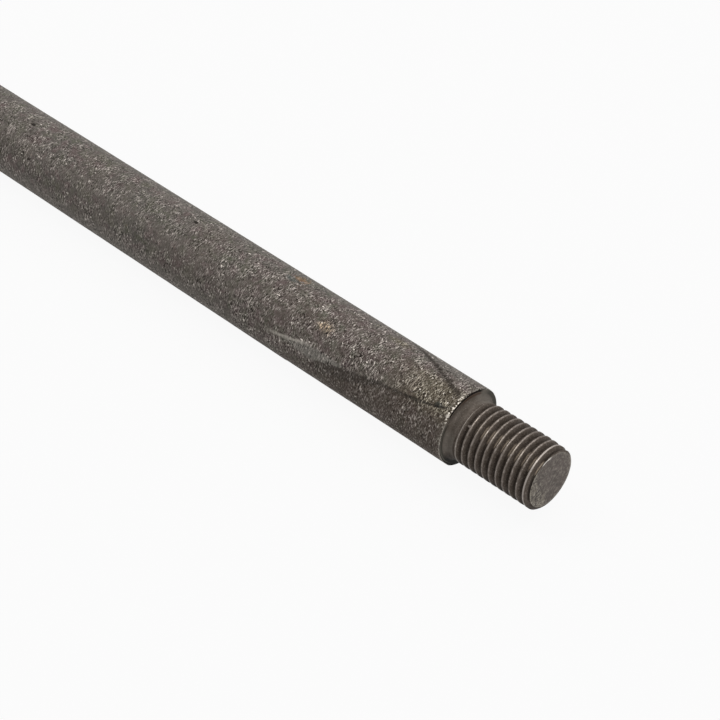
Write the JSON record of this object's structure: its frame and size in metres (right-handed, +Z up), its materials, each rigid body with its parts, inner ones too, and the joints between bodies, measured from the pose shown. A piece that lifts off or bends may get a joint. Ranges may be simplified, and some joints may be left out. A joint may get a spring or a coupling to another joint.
{
  "type": "ground rod",
  "caption": "Round hot-rolled steel ground rod with a shouldered threaded stud at one end and a blunt driving point at the other, for earthing an electrical installation.",
  "frame": {"origin": "on the floor under the middle of the rod's length", "axes": "+X along the rod towards the threaded stud, +Z up, the rod lying on the floor"},
  "size_m": [1, 0.02, 0.02],
  "materials": {
    "scaled_steel": "hot-rolled, dark mill scale"
  },
  "bodies": {
    "root": {"ground_rod": "scaled_steel"}
  },
  "joints": []
}
